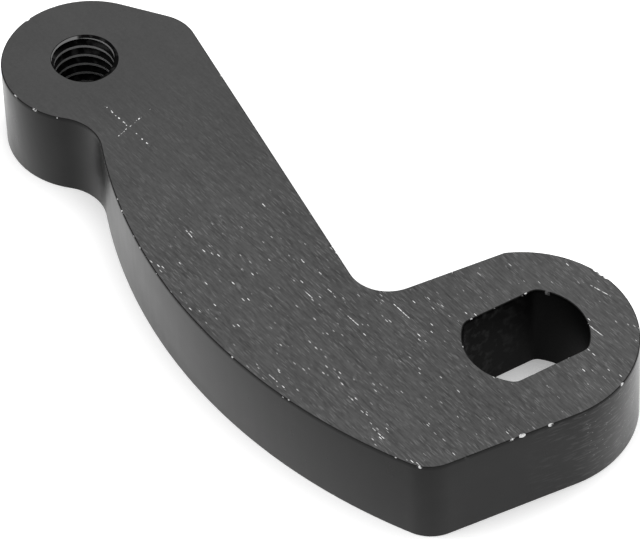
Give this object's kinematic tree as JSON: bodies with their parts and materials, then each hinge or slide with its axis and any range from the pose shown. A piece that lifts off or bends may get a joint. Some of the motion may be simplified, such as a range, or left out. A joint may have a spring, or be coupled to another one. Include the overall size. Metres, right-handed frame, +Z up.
{
  "type": "drum brake lever",
  "caption": "Flat L-shaped drum brake lever in black-finished plate steel, with a two-flat shaft hole in the hub and a tapped hole in the rod end.",
  "frame": {"origin": "on the axis of the two-flat shaft hole, at the lever's bottom face", "axes": "+X along the long straight edge towards the rod end, +Y from the hub towards the curved back, +Z up through the plate, along both hole axes"},
  "size_m": [0.096, 0.055, 0.0127],
  "materials": {
    "black_steel": "black oxide, satin, with fine grinding lines on the flat faces"
  },
  "bodies": {
    "root": {"lever": "black_steel"}
  },
  "joints": []
}
